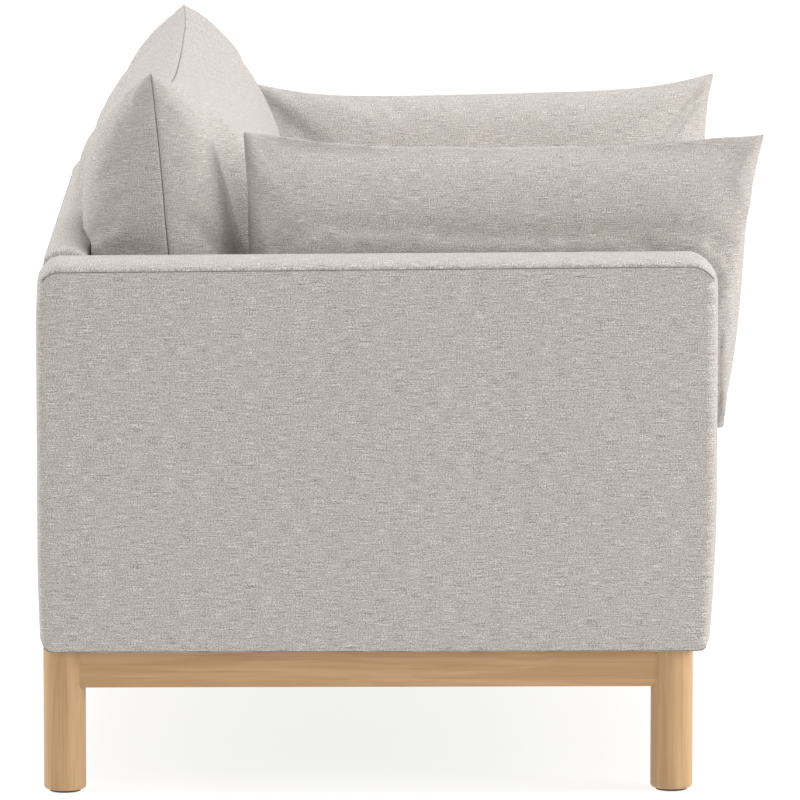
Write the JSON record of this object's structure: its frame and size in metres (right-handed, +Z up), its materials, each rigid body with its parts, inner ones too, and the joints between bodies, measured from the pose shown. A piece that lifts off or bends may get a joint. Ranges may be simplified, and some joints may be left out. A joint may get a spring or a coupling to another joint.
{
  "type": "two-seat sofa",
  "caption": "Upholstered sofa with arms and back of equal height, loose seat and back cushions, a pillow leaning on each arm, and a round-legged oak base.",
  "frame": {"origin": "on the floor, under the middle of the whole sofa's outline", "axes": "+X along the sofa's length, -Y out of its front, +Z up"},
  "size_m": [1.52, 0.942, 0.9067],
  "materials": {
    "upholstery": "slubbed linen weave",
    "oak": "clear matt lacquer",
    "frame_wood": "sawn pine",
    "foam": "open-cell foam",
    "fibre_fill": "loose polyester fibre",
    "steel": "zinc plated",
    "zip_metal": "satin paint",
    "zip_tape": "woven tape",
    "webbing": "elastic webbing",
    "decking": "plain canvas",
    "dust_cloth": "non-woven cloth",
    "felt": "pressed felt"
  },
  "bodies": {
    "frame": {"leg_front_left": "oak", "leg_rear_left": "oak", "base_rail_left": "oak", "arm_frame_left": "frame_wood", "arm_board_left": "frame_wood", "arm_outer_panel_left": "upholstery", "arm_inner_panel_left": "upholstery", "arm_band_left": "upholstery", "arm_foam_left": "upholstery", "leg_front_right": "oak", "leg_rear_right": "oak", "base_rail_right": "oak", "arm_frame_right": "frame_wood", "arm_board_right": "frame_wood", "arm_outer_panel_right": "upholstery", "arm_inner_panel_right": "upholstery", "arm_band_right": "upholstery", "arm_foam_right": "upholstery", "base_rail_front": "oak", "base_rail_rear": "oak", "base_cross_rail": "frame_wood", "corner_braces": "frame_wood", "leg_bolts_and_nuts": "steel", "base_bolts": "steel", "floor_pads": "felt", "dust_cover": "dust_cloth", "arm_bolts": "steel", "back_rails": "frame_wood", "back_posts": "frame_wood", "back_webbing": "webbing", "back_foam": "foam", "back_front_panel": "upholstery", "back_rear_panel": "upholstery", "back_top_band": "upholstery", "seat_rail_rear": "frame_wood", "seat_rail_front": "frame_wood", "seat_rails_side": "frame_wood", "seat_rail_centre": "frame_wood", "sinuous_springs": "steel", "spring_clips": "steel", "deck_pad": "foam", "deck_cover": "decking", "front_border_foam": "foam", "front_border_cover": "upholstery"},
    "seat_cushion": {"seat_cushion_cover": "upholstery", "seat_cushion_foam": "foam", "seat_zip_tape": "zip_tape"},
    "back_cushion": {"back_cushion_cover": "upholstery", "back_cushion_fill": "fibre_fill", "back_cushion_zip_tape": "zip_tape"},
    "pillow_left": {"pillow_left_cover": "upholstery", "pillow_left_fill": "fibre_fill", "pillow_left_zip_tape": "zip_tape"},
    "pillow_right": {"pillow_right_cover": "upholstery", "pillow_right_fill": "fibre_fill", "pillow_right_zip_tape": "zip_tape"},
    "seat_zip_slider": {"seat_zip_slider": "zip_metal"},
    "back_cushion_zip_slider": {"back_cushion_zip_slider": "zip_metal"},
    "pillow_left_zip_slider": {"pillow_left_zip_slider": "zip_metal"},
    "pillow_right_zip_slider": {"pillow_right_zip_slider": "zip_metal"}
  },
  "joints": [
    {"name": "seat_cushion_lift", "type": "slide", "parent": "frame", "child": "seat_cushion", "axis": [0, 0, 1], "range_m": [0, 0.45]},
    {"name": "back_cushion_lift", "type": "slide", "parent": "seat_cushion", "child": "back_cushion", "axis": [0, 0, 1], "range_m": [0, 0.3]},
    {"name": "pillow_left_lift", "type": "slide", "parent": "seat_cushion", "child": "pillow_left", "axis": [0, 0, 1], "range_m": [0, 0.3]},
    {"name": "pillow_right_lift", "type": "slide", "parent": "seat_cushion", "child": "pillow_right", "axis": [0, 0, 1], "range_m": [0, 0.3]},
    {"name": "seat_zip", "type": "slide", "parent": "seat_cushion", "child": "seat_zip_slider", "axis": [1, 0, 0], "range_m": [0, 0.68]},
    {"name": "back_cushion_zip", "type": "slide", "parent": "back_cushion", "child": "back_cushion_zip_slider", "axis": [1, 0, 0], "range_m": [0, 0.62]},
    {"name": "pillow_left_zip", "type": "slide", "parent": "pillow_left", "child": "pillow_left_zip_slider", "axis": [0, 1, 0], "range_m": [0, 0.34]},
    {"name": "pillow_right_zip", "type": "slide", "parent": "pillow_right", "child": "pillow_right_zip_slider", "axis": [0, 1, 0], "range_m": [0, 0.34]}
  ]
}
